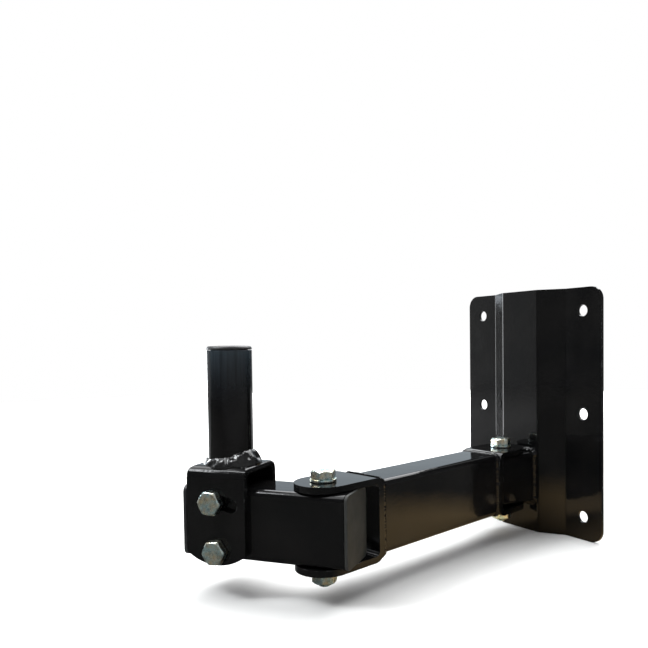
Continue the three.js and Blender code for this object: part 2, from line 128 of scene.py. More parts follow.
class Graph:
    """The node tree of a material or world, with short calls to add and wire nodes."""

    def __init__(self, owner):
        owner.use_nodes = True
        self.owner = owner
        self.tree = owner.node_tree
        self.shader = self.tree.nodes.get("Principled BSDF")
        self.place = self.add("ShaderNodeTexCoord").outputs["Object"]

    def add(self, kind, settings=(), **inputs):
        """A new node with its settings and inputs; an input's name is its socket's."""
        node = self.tree.nodes.new(kind)
        for key, value in dict(settings).items():
            setattr(node, key, value)
        for key, value in inputs.items():
            self.feed(node.inputs[key], value)
        return node

    def feed(self, socket, value):
        """Links another socket to this one, or sets its value."""
        if isinstance(value, bpy.types.NodeSocket):
            self.tree.links.new(value, socket)
        else:
            socket.default_value = value

    def set(self, **values):
        """Feeds sockets of the main shader; an underscore stands for a space."""
        for key, value in values.items():
            self.feed(self.shader.inputs[key.replace("_", " ")], value)

    def noise(self, scale, detail, roughness=0.5, stretch=None):
        """Noise from 0 to 1 with about scale features in a metre."""
        place = self.place
        if stretch:
            place = self.add("ShaderNodeMapping", Vector=place, Scale=stretch).outputs[0]
        return self.add("ShaderNodeTexNoise", Vector=place, Scale=scale, Detail=detail,
                        Roughness=roughness).outputs[0]

    def remap(self, value, low, high, to_low=0.0, to_high=1.0):
        """The value moved from one range to another, and held within it."""
        node = self.add("ShaderNodeMapRange", Value=value)
        for key, number in (("From Min", low), ("From Max", high),
                            ("To Min", to_low), ("To Max", to_high)):
            node.inputs[key].default_value = number
        return node.outputs[0]

    def math(self, operation, a, b):
        node = self.add("ShaderNodeMath", {"operation": operation})
        self.feed(node.inputs[0], a)
        self.feed(node.inputs[1], b)
        return node.outputs[0]

    def product(self, first, *others):
        for other in others:
            first = self.math("MULTIPLY", first, other)
        return first

    def vector(self, operation, a, b):
        node = self.add("ShaderNodeVectorMath", {"operation": operation})
        self.feed(node.inputs[0], a)
        self.feed(node.inputs[1], b)
        return node

    def measure(self, operation, a, b):
        """A number from two vectors, such as their dot product or distance."""
        return self.vector(operation, a, b).outputs["Value"]

    def flattened(self):
        """The place with its height left out."""
        return self.vector("MULTIPLY", self.place, (1, 1, 0)).outputs["Vector"]

    def by_ray(self, kind, other, chosen):
        """The chosen colour for one kind of light ray, and the other one for the rest."""
        return self.blend(self.add("ShaderNodeLightPath").outputs[kind], other, chosen)

    def blend(self, share, first, second):
        """Two colours mixed: the first at 0, the second at 1."""
        node = self.add("ShaderNodeMix", {"data_type": "RGBA"}, Factor=share)
        self.feed(node.inputs[COLOUR_A], first)
        self.feed(node.inputs[COLOUR_B], second)
        return node.outputs[COLOUR_OUT]

    def bump(self, height, distance, strength, normal=None):
        node = self.add("ShaderNodeBump", Height=height, Distance=distance, Strength=strength)
        if normal:
            self.feed(node.inputs["Normal"], normal)
        return node.outputs[0]

    def edge_mask(self, radius):
        """1 where a rounded edge would lean away from the true surface, 0 on the flats."""
        rounded = self.add("ShaderNodeBevel", {"samples": EDGE_SAMPLES}, Radius=radius).outputs[0]
        true = self.add("ShaderNodeNewGeometry").outputs["Normal"]
        return self.remap(self.measure("DOT_PRODUCT", rounded, true), *EDGE_LEAN)


# A name that ends in _SCALE is how many features of a noise there are in a metre, one in
# _SPAN the part of the noise's range that is used, and one in _ROUGH the surface's roughness.
MIDDLE_SPAN = (0.3, 0.7)
PAINT_DEEP = (0.0030, 0.0031, 0.0033, 1)
PAINT_FADED = (0.0062, 0.0060, 0.0058, 1)
MATT_DEEP = (0.027, 0.028, 0.026, 1)
MATT_FADED = (0.037, 0.038, 0.035, 1)
PRIMER = (0.115, 0.118, 0.122, 1)
DUST = (0.10, 0.092, 0.08, 1)
# Bluish grey of the pole's scuffs and of its painted sheen, a lighter colour laid on near its top in
# place of reflected light.
SCUFF_AND_SHEEN = (0.030, 0.040, 0.049, 1)
CLOUD_SCALE = 26
CLOUD_SPAN = (0.35, 0.7)
SPECK_SCALE = 900
SPECK_SPAN = (0.62, 0.8)
DUST_SCALE = 18
DUST_SPAN = (0.45, 0.75)
RUB_SCALE = 170
GLOSS_SCALE = 60
PEEL_SCALE = 330
WAVE_SCALE = 38
PAINT_ROUGH = (0.045, 0.11)
MATT_ROUGH = (0.5, 0.65)
WELD_ROUGH = (0.12, 0.25)
SHINY_WELD_ROUGH = (0.14, 0.26)
PAINT_IOR = 1.33
SHINY_WELD_IOR = 1.6
PAINT_PEEL = 0.07 * MM  # depth of the orange peel
WELD_PEEL = 0.2 * MM
PAINT_WAVE = 0.4 * MM  # depth of the slow waves under it
MOST_DUST = 0.10  # share of the colour that the thickest dust covers
RUB_WIDTH = 0.9 * MM  # how far from an edge the rubbing reaches
RUB_FROM = 0.55  # the noise at which an edge starts to be rubbed
WELD_RUB_FROM = 0.7
RUB_FULL = 0.78  # the noise at which it is rubbed to the primer
DUST_ROUGHENS = 0.6
RUB_ROUGHENS = 0.25


def paint_material(name, peel=PAINT_PEEL, rough=PAINT_ROUGH, rub_from=RUB_FROM, ior=PAINT_IOR,
                   shades=(PAINT_DEEP, PAINT_FADED), scuffs=None):
    """Black paint with orange peel, uneven gloss, a little dust and edges rubbed to the primer.

    scuffs is a function that makes a mask of scuffs in the graph, which on the pole also holds a
    painted sheen.
    """
    g = Graph(bpy.data.materials.new(name))
    colour = g.blend(g.remap(g.noise(CLOUD_SCALE, detail=3), *CLOUD_SPAN), *shades)
    dust = g.product(g.remap(g.noise(SPECK_SCALE, detail=2), *SPECK_SPAN),
                     g.remap(g.noise(DUST_SCALE, detail=2), *DUST_SPAN, 0, MOST_DUST))
    colour = g.blend(dust, colour, DUST)
    worn = g.remap(g.noise(RUB_SCALE, detail=4, roughness=0.65), rub_from, RUB_FULL)
    rubbed = g.product(g.edge_mask(RUB_WIDTH), worn)
    colour = g.blend(rubbed, colour, PRIMER)
    # Scuffs, and on the pole a painted sheen that lightens its top.
    if scuffs:
        colour = g.blend(scuffs(g), colour, SCUFF_AND_SHEEN)
    gloss = g.remap(g.noise(GLOSS_SCALE, detail=3), *MIDDLE_SPAN, *rough)
    gloss = g.math("ADD", gloss, g.product(dust, DUST_ROUGHENS))
    gloss = g.math("ADD", gloss, g.product(rubbed, RUB_ROUGHENS))
    orange_peel = g.bump(g.noise(PEEL_SCALE, detail=2), peel, strength=0.6)
    waves = g.bump(g.noise(WAVE_SCALE, detail=1), PAINT_WAVE, strength=0.35, normal=orange_peel)
    g.set(Base_Color=colour, Roughness=gloss, Normal=waves, IOR=ior)
    return g.owner


ZINC_COOL = (0.68, 0.90, 0.92, 1)
ZINC_WARM = (0.95, 0.83, 0.60, 1)
ZINC_DULL = (0.20, 0.28, 0.29, 1)
ZINC_TINT_SCALE = 190
ZINC_TINT_SPAN = (0.36, 0.66)
ZINC_SPOT_SCALE = 300
ZINC_SPOT_SPAN = (0.5, 0.72)
ZINC_GLOSS_SCALE = 240
ZINC_GRAIN_SCALE = 520
ZINC_GRAIN = 0.3 * MM
ZINC_ROUGH = (0.16, 0.40)
MOST_DULL = 0.85  # share of the colour that a dull spot covers


def zinc_material(name):
    """Bright zinc plate with a faint yellow and blue passivated tint and duller spots."""
    g = Graph(bpy.data.materials.new(name))
    tint = g.remap(g.noise(ZINC_TINT_SCALE, detail=3), *ZINC_TINT_SPAN)
    spots = g.noise(ZINC_SPOT_SCALE, detail=4, roughness=0.7)
    spots = g.remap(spots, *ZINC_SPOT_SPAN, 0, MOST_DULL)
    colour = g.blend(spots, g.blend(tint, ZINC_COOL, ZINC_WARM), ZINC_DULL)
    gloss = g.remap(g.noise(ZINC_GLOSS_SCALE, detail=3), *MIDDLE_SPAN, *ZINC_ROUGH)
    grain = g.noise(ZINC_GRAIN_SCALE, detail=3, roughness=0.6)
    g.set(Base_Color=colour, Metallic=1.0, Roughness=gloss,
          Normal=g.bump(grain, ZINC_GRAIN, strength=0.6))
    return g.owner


PLASTIC_DARK = (0.013, 0.013, 0.014, 1)
PLASTIC_SCUFFED = (0.03, 0.03, 0.031, 1)
PLASTIC_SCUFF_SCALE = 140
PLASTIC_SCUFF_SPAN = (0.52, 0.75)
PLASTIC_SCUFF_STRETCH = (1, 1, 0.3)
PLASTIC_GLOSS_SCALE = 500
PLASTIC_GRAIN_SCALE = 2200
PLASTIC_GRAIN = 0.06 * MM
PLASTIC_ROUGH = (0.34, 0.52)


def plastic_material(name):
    """Black moulded plastic with a fine grain and light scuffs."""
    g = Graph(bpy.data.materials.new(name))
    scuffs = g.noise(PLASTIC_SCUFF_SCALE, detail=5, roughness=0.7, stretch=PLASTIC_SCUFF_STRETCH)
    colour = g.blend(g.remap(scuffs, *PLASTIC_SCUFF_SPAN), PLASTIC_DARK, PLASTIC_SCUFFED)
    gloss = g.remap(g.noise(PLASTIC_GLOSS_SCALE, detail=2), *MIDDLE_SPAN, *PLASTIC_ROUGH)
    grain = g.bump(g.noise(PLASTIC_GRAIN_SCALE, detail=2), PLASTIC_GRAIN, strength=0.6)
    g.set(Base_Color=colour, Roughness=gloss, Normal=grain)
    return g.owner


# A pair of limits is where something starts and where it is full: in metres on the floor,
# and as cosines to a direction in the world further down.
LEFT = Vector((-1, 0, 0))
BACKDROP = (1.0, 1.0, 1.0, 1)
FLOOR_PALE = (0.90, 0.895, 0.88, 1)
FLOOR_SHADED = (0.87, 0.865, 0.85, 1)
FLOOR_SCALE = 3
FLOOR_GLOSS_SCALE = 40
FLOOR_ROUGH = (0.6, 0.75)
FLOOR_SPECULAR = 0.1
FADE_REACH = (0.6, 1.5)  # from the floor as it is lit to the plain backdrop
# What mirrored rays see on the floor, a painted reflection: a dark floor with a painted warm pool of
# light near the plate and paler sides.
REFLECTED_WARM_POOL = (0.80, 0.56, 0.27, 1)
REFLECTED_FLOOR_DARK = (0.07, 0.07, 0.065, 1)
REFLECTED_FLOOR_SIDE = (0.40, 0.40, 0.40, 1)
WARM_POOL_CENTRE = Vector((0.09, -0.09, 0))  # centre of the painted warm pool of light that mirrored rays see, beside the wall hinge, on the camera's side
WARM_POOL_REACH = (0.07, 0.20)
LEFT_BORDER = Vector((-0.777, 0.629, 0))  # across the line where the paler left part of the painted reflection starts
LEFT_BORDER_STEP = (-0.03, -0.005)
REFLECTED_LEFT_REACH = (0.12, 0.6)
REFLECTED_RIGHT_REACH = (-0.45, -1.1)
REFLECTED_RIGHT_SHARE = 0.7


def floor_material(name):
    """Matt pale floor that fades into the backdrop far out.

    Mirrored rays see it as a dark floor with a painted reflection on it: a painted warm pool of light
    near the plate, and paler to the left and right.
    """
    g = Graph(bpy.data.materials.new(name))
    pale = g.blend(g.remap(g.noise(FLOOR_SCALE, detail=3), *MIDDLE_SPAN), FLOOR_PALE, FLOOR_SHADED)
    level = g.flattened()
    # Painted reflection for mirrored rays only: a warm pool of light near the plate on a dark floor,
    # paler at the sides.
    past_warm_pool = g.remap(g.measure("DISTANCE", level, WARM_POOL_CENTRE), *WARM_POOL_REACH)
    reflected_floor = g.blend(past_warm_pool, REFLECTED_WARM_POOL, REFLECTED_FLOOR_DARK)
    aside = g.measure("DOT_PRODUCT", g.place, LEFT)
    past_border = g.remap(g.measure("DOT_PRODUCT", g.place, LEFT_BORDER), *LEFT_BORDER_STEP)
    left = g.product(past_border, g.remap(aside, *REFLECTED_LEFT_REACH))
    right = g.remap(aside, *REFLECTED_RIGHT_REACH, 0, REFLECTED_RIGHT_SHARE)
    reflected_floor = g.blend(right, g.blend(left, reflected_floor, REFLECTED_FLOOR_SIDE), REFLECTED_FLOOR_SIDE)
    gloss = g.remap(g.noise(FLOOR_GLOSS_SCALE, detail=3), *MIDDLE_SPAN, *FLOOR_ROUGH)
    g.set(Base_Color=g.by_ray("Is Glossy Ray", pale, reflected_floor), Roughness=gloss,
          Specular_IOR_Level=FLOOR_SPECULAR)
    fade = g.remap(g.measure("DISTANCE", level, (0, 0, 0)), *FADE_REACH)
    seen = g.add("ShaderNodeLightPath").outputs["Is Camera Ray"]
    g.set(Emission_Color=BACKDROP, Emission_Strength=g.product(fade, seen))
    return g.owner


PAINT = paint_material("gloss_black_paint")
WELD_PAINT = paint_material("painted_weld", WELD_PEEL, WELD_ROUGH, WELD_RUB_FROM)
SHINY_WELD = paint_material("shiny_painted_weld", WELD_PEEL, SHINY_WELD_ROUGH, ior=SHINY_WELD_IOR)
MATT_PAINT = paint_material("matt_black_paint", rough=MATT_ROUGH, shades=(MATT_DEEP, MATT_FADED))
ZINC = zinc_material("zinc_plate")
PLASTIC = plastic_material("black_plastic")

# ------------------------------------------------------------ mesh helpers
SHARP = math.radians(34)  # an edge that turns by more than this stays crisp
SAME_POINT = 1e-7


def piece(name, vertices, faces, material, slot, body, node):
    """A finished mesh that stands for a CAD node and rides on its body."""
    mesh = bpy.data.meshes.new(name)
    mesh.from_pydata([tuple(v) for v in vertices], [], faces)
    work = bmesh.new()
    work.from_mesh(mesh)
    bmesh.ops.remove_doubles(work, verts=work.verts, dist=SAME_POINT)
    bmesh.ops.recalc_face_normals(work, faces=work.faces)
    work.to_mesh(mesh)
    work.free()
    mesh.shade_smooth()
    mesh.set_sharp_from_angle(angle=SHARP)
    mesh.materials.append(material)
    thing = bpy.data.objects.new(name, mesh)
    bpy.context.collection.objects.link(thing)
    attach(thing, body)
    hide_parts(node)
    return thing


def turned(rings, matrix, closed=False):
    """Rings of points about local z, as (vertices, faces). A ring is one point (a pole) or many."""
    vertices, faces, starts = [], [], []
    for ring in rings:
        starts.append(len(vertices))
        vertices += [matrix @ Vector(point) for point in ring]
    pairs = list(zip(range(len(rings) - 1), range(1, len(rings))))
    if closed:
        pairs.append((len(rings) - 1, 0))
    for low, high in pairs:
        a, b = starts[low], starts[high]
        count = max(len(rings[low]), len(rings[high]))
        for k in range(count):
            n = (k + 1) % count
            if len(rings[low]) == 1:
                faces.append((a, b + k, b + n))
            elif len(rings[high]) == 1:
                faces.append((a + k, b, a + n))
            else:
                faces.append((a + k, b + k, b + n, a + n))
    return vertices, faces


def circle(radius, height, count):
    """Ring of points round local z."""
    return [(radius * math.cos(t), radius * math.sin(t), height)
            for t in (2 * math.pi * k / count for k in range(count))]


# --------------------------------------------------------------- fasteners
HEX_STEPS = 96
HEX_FLAT = 8.5 * MM  # centre to flat of a 17 mm hexagon
HEX_CORNER = 9.66 * MM  # corners slightly blunt
HEX_FACE = 8.0 * MM  # radius at which the chamfer meets the end face
HEAD_HEIGHT = 6.4 * MM
CHAMFER_SLOPE = math.tan(math.radians(30))
SHANK = 5 * MM
THREAD_LENGTH = 4.5 * MM
THREAD_START = 0.3 * MM
THREAD_PITCH = 1.5 * MM
THREAD_DEPTH = 0.85 * MM
THREAD_FLANK = 2.6  # steepness of the thread's sides
THREAD_STEPS = 8  # rings in one turn
TIP_CHAMFER = 1.1 * MM
TIP_SLOPE = 1.2
DISH = 0.35 * MM
EDGE = 0.16 * MM
# The head's end face from the dish out: shares of HEX_FACE, and depths below its highest ring.
HEAD_DISH = ((0.45, DISH), (0.62, 0.6 * DISH), (0.74, EDGE / 4), (0.96, 0), (1.01, EDGE / 2))
NUT_RIM = 0.99 * HEX_FACE
NUT_BORE = SHANK + 0.15 * MM
NUT_MOUTH = SHANK + 0.8 * MM
NUT_MOUTH_DEPTH = 0.7 * MM
WASHER_BORE = SHANK + 0.3 * MM
WASHER_RADIUS = 10 * MM
WASHER_EDGE = 0.35 * MM
WASHER_ROUND = 0.3 * WASHER_EDGE  # rounds its outer edges
HEX_TURNS = {"wall": 0.2, "elbow": 0.5, "tilt_pivot": 0.62, "tilt_lock": 0.46}  # radians


def hex_radius(angle):
    """Radius of the hexagon's outline at an angle."""
    folded = (angle + math.pi / 6) % (math.pi / 3) - math.pi / 6
    return min(HEX_FLAT / math.cos(folded), HEX_CORNER)


def hex_ring(height, inset=0.0, chamfer=0):
    """Hexagonal ring; chamfer is 1 or -1 where it follows the cone that breaks the top or bottom."""
    ring = []
    for k in range(HEX_STEPS):
        angle = 2 * math.pi * k / HEX_STEPS
        radius = hex_radius(angle)
        drop = (radius - HEX_FACE) * CHAMFER_SLOPE + EDGE * abs(chamfer)
        radius -= inset
        ring.append((radius * math.cos(angle), radius * math.sin(angle), height - chamfer * drop))
    return ring


def thread_ring(height, tip):
    """Ring of a screw thread, narrowed where the end of the bolt is chamfered."""
    ring = []
    for k in range(HEX_STEPS):
        angle = 2 * math.pi * k / HEX_STEPS
        phase = (height / THREAD_PITCH - k / HEX_STEPS) % 1
        depth = max(0.0, 1 - abs(phase - 0.5) * THREAD_FLANK) * THREAD_DEPTH
        radius = min(SHANK - depth, SHANK - TIP_CHAMFER + (height - tip) * TIP_SLOPE)
        ring.append((radius * math.cos(angle), radius * math.sin(angle), height))
    return ring


def bolt_rings(top, tip):
    """Forged hexagon head with a shallow dish, plain shank and a threaded, chamfered end."""
    seat = top - HEAD_HEIGHT
    threaded = tip + THREAD_LENGTH
    steps = int((threaded - tip) / THREAD_PITCH * THREAD_STEPS)
    rings = [[(0, 0, top - DISH)]]
    rings += [circle(share * HEX_FACE, top - depth, HEX_STEPS) for share, depth in HEAD_DISH]
    rings += [hex_ring(top, EDGE, 1), hex_ring(top - EDGE, 0, 1)]
    rings += [hex_ring(seat + 2 * EDGE), hex_ring(seat, 2 * EDGE), circle(SHANK, seat, HEX_STEPS)]
    rings += [circle(SHANK, threaded + THREAD_START, HEX_STEPS)]
    rings += [thread_ring(threaded - (threaded - tip) * k / steps, tip) for k in range(steps + 1)]
    rings += [[(0, 0, tip)]]
    return rings


def nut_rings(low, high):
    """Hexagon nut, both faces chamfered, with a countersunk bore."""
    return [circle(NUT_BORE, low + NUT_MOUTH_DEPTH, HEX_STEPS), circle(NUT_MOUTH, low, HEX_STEPS),
            circle(NUT_RIM, low, HEX_STEPS), hex_ring(low, EDGE, -1), hex_ring(low + EDGE, 0, -1),
            hex_ring(high - EDGE, 0, 1), hex_ring(high, EDGE, 1), circle(NUT_RIM, high, HEX_STEPS),
            circle(NUT_MOUTH, high, HEX_STEPS), circle(NUT_BORE, high - NUT_MOUTH_DEPTH, HEX_STEPS)]


def washer_rings(low, high):
    """Flat washer with its edges broken."""
    profile = [(WASHER_BORE, low + WASHER_EDGE), (WASHER_BORE + WASHER_EDGE, low),
               (WASHER_RADIUS - WASHER_EDGE, low), (WASHER_RADIUS - WASHER_ROUND, low + WASHER_ROUND),
               (WASHER_RADIUS, low + WASHER_EDGE), (WASHER_RADIUS, high - WASHER_EDGE),
               (WASHER_RADIUS - WASHER_ROUND, high - WASHER_ROUND), (WASHER_RADIUS - WASHER_EDGE, high),
               (WASHER_BORE + WASHER_EDGE, high), (WASHER_BORE, high - WASHER_EDGE)]
    return [circle(radius, height, HEX_STEPS) for radius, height in profile]


def bolt_set(prefix, origin, along, body, washers):
    """Bolt, nut and washers on one axis; the head is on the side that along points to."""
    side = along.orthogonal().normalized() if abs(along.z) > 0.5 else UP
    base = origin - along * origin.dot(along)
    matrix = axes(base, side.cross(along), side, along) @ Matrix.Rotation(HEX_TURNS[prefix], 4, "Z")
    tip, top = span(f"{prefix}_bolt", along)
    shapes = [("bolt", bolt_rings(top, tip), False),
              ("nut", nut_rings(*span(f"{prefix}_nut", along)), True)]
    shapes += [(washer, washer_rings(*span(f"{prefix}_{washer}", along)), True) for washer in washers]
    for kind, rings, closed in shapes:
        node = f"{prefix}_{kind}"
        piece(f"{node}_zinc", *turned(rings, matrix, closed), ZINC, "zinc", body, node)


LOCK_POINT = (OUTER_DIR * middle("tilt_lock_nut", OUTER_DIR)
              + UP * middle("tilt_lock_nut", UP))
bolt_set("wall", WALL_HINGE, UP, "inner_arm", ("nut_washer", "head_washer"))
bolt_set("elbow", ELBOW_HINGE, UP, "inner_arm", ("nut_washer", "head_washer"))
bolt_set("tilt_pivot", TILT_PIVOT, TILT_AXIS, "outer_arm", ("nut_washer",))
bolt_set("tilt_lock", LOCK_POINT, TILT_AXIS, "outer_arm", ("nut_washer",))

# ------------------------------------------------------------------ spigot
POLE_STEPS = 128
POLE_LENGTHS = 24
pole_low, pole_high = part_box("spigot_tube")
cap_low, cap_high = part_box("spigot_cap")
POLE_R = (pole_high.x - pole_low.x) / 2
POLE_AXIS = Vector((pole_low.x + pole_high.x, pole_low.y + pole_high.y, 0)) / 2
POLE_FRAME = axes(POLE_AXIS, OUTER_DIR, UP.cross(OUTER_DIR), UP)
POLE_WALL = 2.5 * MM
POLE_EDGE = 0.3 * MM
SCUFF_SHEEN_REACH = 52 * MM  # how far below the top the scuffs and the painted sheen go
SCUFF_SHEEN_FADE = 2.6  # how fast the scuffs and the painted sheen thin out downwards
STREAK_SCALE = 380
STREAK_SPAN = (0.32, 0.68)
STREAK_STRETCH = (1, 1, 0.04)
STREAK_SHARE = (0.45, 1.0)


def pole_scuffs_and_painted_sheen(g):
    """Share of fine upright scuffs from the sockets that the pole goes into, and of a painted sheen: a
    lighter bluish colour, dense near the top, that stands in for light reflected off the pole.
    """
    height = g.measure("DOT_PRODUCT", g.place, UP)
    near_top = g.math("POWER", g.remap(height, pole_high.z - SCUFF_SHEEN_REACH, pole_high.z), SCUFF_SHEEN_FADE)
    streaks = g.noise(STREAK_SCALE, detail=3, roughness=0.6, stretch=STREAK_STRETCH)
    return g.product(near_top, g.remap(streaks, *STREAK_SPAN, *STREAK_SHARE))


# The pole's paint: scuffs and a painted sheen near its top.
POLE_PAINT = paint_material("scuffed_black_paint_painted_sheen", scuffs=pole_scuffs_and_painted_sheen)


def spigot_tube():
    """The pole: an open tube with its top edge broken."""
    bottom, top = pole_low.z, pole_high.z
    length = top - POLE_EDGE - bottom
    profile = [(POLE_R - POLE_WALL, bottom), (POLE_R, bottom)]
    profile += [(POLE_R, bottom + length * k / POLE_LENGTHS) for k in range(1, POLE_LENGTHS + 1)]
    profile += [(POLE_R - POLE_EDGE, top), (POLE_R - POLE_WALL, top)]
    rings = [circle(radius, height, POLE_STEPS) for radius, height in profile]
    piece("spigot_tube_paint", *turned(rings, POLE_FRAME, True), POLE_PAINT, "paint",
          "tilt_head", "spigot_tube")


CAP_STEM = POLE_R - 3 * MM
CAP_CHAMFER = 1.2 * MM
CAP_GAP = 0.3 * MM  # between the pole's rim and the lid
LID_INSET = 0.1 * MM  # how far the lid's lower edge lies inside the pole's outside
LID_CHAMFER = 0.4 * MM
LID_BEVEL = 0.3 * MM
CAP_EDGE = 2.4 * MM  # radius of the lid's rounded edge
CAP_CROWN = 0.35 * MM
CAP_EDGE_STEPS = 8
CAP_CROWN_STEPS = 6


def spigot_cap():
    """Push-in cap: a thin rounded lid, slightly crowned, over a stem inside the tube."""
    lid_low, top = pole_high.z + CAP_GAP, cap_high.z
    profile = [(CAP_STEM - CAP_CHAMFER, cap_low.z), (CAP_STEM, cap_low.z + CAP_CHAMFER),
               (CAP_STEM, lid_low), (POLE_R - LID_CHAMFER - LID_INSET, lid_low),
               (POLE_R - LID_INSET, lid_low + LID_BEVEL)]
    for k in range(CAP_EDGE_STEPS + 1):
        angle = math.pi / 2 * k / CAP_EDGE_STEPS
        profile.append((POLE_R - CAP_EDGE + CAP_EDGE * math.cos(angle),
                        top - CAP_CROWN - CAP_EDGE + CAP_EDGE * math.sin(angle)))
    for k in range(1, CAP_CROWN_STEPS):
        share = k / CAP_CROWN_STEPS
        profile.append(((POLE_R - CAP_EDGE) * (1 - share), top - CAP_CROWN * (1 - share) ** 2))
    rings = [[(0, 0, cap_low.z)]] + [circle(radius, height, POLE_STEPS) for radius, height in profile]
    rings.append([(0, 0, top)])
    piece("spigot_cap_plastic", *turned(rings, POLE_FRAME), PLASTIC, "plastic",
          "tilt_head", "spigot_cap")


spigot_tube()
spigot_cap()

# -------------------------------------------------------------- weld beads
RIPPLE = 2.3 * MM  # spacing of the ripples along a bead
RIPPLE_CURL = 0.9 * MM  # how far a ripple's ends trail behind its middle
RIPPLE_LEVEL = 0.55  # the part of a ripple's height that lies below the bead's plain surface
BEAD_SECTION = 9
BEAD_SHARP = math.radians(60)
ROOT_SINK = 0.6 * MM  # how far a bead's hidden side is let into the parts
SWELL_FROM, SWELL_BY = 0.12, 0.76  # the part of a half wave over which ripples and lumps swell
TUBE_CORNER = 5 * MM
TUBE_STEP = 0.3 * MM
CORNER_STEPS = 8
WELD_GAP = 0.3 * MM  # how far the CAD weld stands off the part


def rounded_loop(half_y, half_z):
    """Points and outward directions round a tube's outline in (y, z), about evenly spaced."""
    radius = TUBE_CORNER
    outline = []
    for quarter, (cy, cz) in enumerate(((1, 1), (-1, 1), (-1, -1), (1, -1))):
        for k in range(CORNER_STEPS + 1):
            angle = math.pi / 2 * (quarter + k / CORNER_STEPS)
            outline.append((cy * (half_y - radius) + radius * math.cos(angle),
                            cz * (half_z - radius) + radius * math.sin(angle),
                            math.cos(angle), math.sin(angle)))
    points = []
    for i, (y, z, ny, nz) in enumerate(outline):
        y2, z2, my, mz = outline[(i + 1) % len(outline)]
        length = math.hypot(y2 - y, z2 - z)
        count = max(1, int(length / TUBE_STEP))
        for k in range(count):
            t = k / count
            ry, rz = ny + (my - ny) * t, nz + (mz - nz) * t
            size = math.hypot(ry, rz)
            points.append((y + (y2 - y) * t, z + (z2 - z) * t, ry / size, rz / size))
    return points


def lump(point, seed, scale):
    """Smooth unevenness from -1 to 1 that repeats on every run."""
    return noise.noise(point * scale + Vector((seed, 2 * seed, 3 * seed)))


def bead(name, stations, body, node, seed, material=WELD_PAINT, uneven=0.22, fullness=0.86,
         ripple=0.16, grain=330):
    """A rippled fillet along a closed run of stations: (root, out, along, out leg, along leg).

    uneven and ripple are the lumps' and ripples' heights as shares of the bead's size. grain is
    how many lumps there are in a metre. fullness goes from a flat face at 0 to a round one at 1.
    """
    count = len(stations)
    lengths = [(stations[(i + 1) % count][0] - stations[i][0]).length for i in range(count)]
    pitch = sum(lengths) / max(1, round(sum(lengths) / RIPPLE))
    travelled = 0.0
    rings = []
    for length, (root, out, along, out_leg, along_leg) in zip(lengths, stations):
        ring = [root - along * ROOT_SINK - out * ROOT_SINK, root + out * out_leg - along * ROOT_SINK]
        for k in range(BEAD_SECTION):
            t = k / (BEAD_SECTION - 1)
            angle = t * math.pi / 2
            curl = RIPPLE_CURL * (2 * t - 1) ** 2
            phase = ((travelled + curl) / pitch) % 1
            scallop = ripple * (math.sqrt(phase) - RIPPLE_LEVEL)
            wobble = uneven * lump(root + out * out_leg * t + along * along_leg * t, seed, grain)
            swell = 1 + (scallop + wobble) * math.sin(math.pi * (SWELL_FROM + SWELL_BY * t))
            reach = fullness * math.cos(angle) + (1 - fullness) * (1 - t)
            rise = fullness * math.sin(angle) + (1 - fullness) * t
            ring.append(root + out * (out_leg * reach * swell) + along * (along_leg * rise * swell))
        ring.append(root + along * along_leg - out * ROOT_SINK)
        rings.append(ring)
        travelled += length
    vertices = [v for ring in rings for v in ring]
    width = len(rings[0])
    faces = []
    for i in range(count):
        here, there = i * width, ((i + 1) % count) * width
        for k in range(width):
            n = (k + 1) % width
            faces.append((here + k, here + n, there + n, there + k))
    thing = piece(name, vertices, faces, material, "paint", body, node)
    thing.data.set_sharp_from_angle(angle=BEAD_SHARP)


def tube_bead(name, node, tube, away, body, seed, side_leg, top_leg, along_leg):
    """Bead round the end of a rectangular tube, on a flat face that away points out of."""
    across = UP.cross(away).normalized()
    face = span(node, away)[0] - WELD_GAP
    y_low, y_high = span(tube, across)
    z_low, z_high = span(tube, UP)
    centre = across * (y_low + y_high) / 2 + UP * (z_low + z_high) / 2 + away * face
    stations = []
    for y, z, ny, nz in rounded_loop((y_high - y_low) / 2, (z_high - z_low) / 2):
        out = across * ny + UP * nz
        leg = abs(ny) * side_leg + abs(nz) * top_leg
        stations.append((centre + across * y + UP * z, out, away, leg, along_leg))
    bead(name, stations, body, node, seed)


def head_surface(offset, top, half_width, radius):
    """Height of the head's outside at a distance from its centre line."""
    over = max(abs(offset) - (half_width - radius), 0)
    return top - radius + math.sqrt(max(radius * radius - over * over, 0))


HEAD_BEND = 8.5 * MM  # outside radius of the head's two bends
FOOT_STEPS = 420
FOOT_SINK = 0.1 * MM
FOOT_BLOB_SEED = 5
FOOT_BLOB_SCALE = 90
FOOT_LEG, FOOT_LEG_MORE, FOOT_LEG_BLOB = 3.4, 3.6, 0.5  # millimetres, as the next line is
FOOT_RISE, FOOT_RISE_MORE, FOOT_RISE_BLOB, FOOT_RISE_BLOB_MORE = 4.2, 6.2, 0.6, 1.2


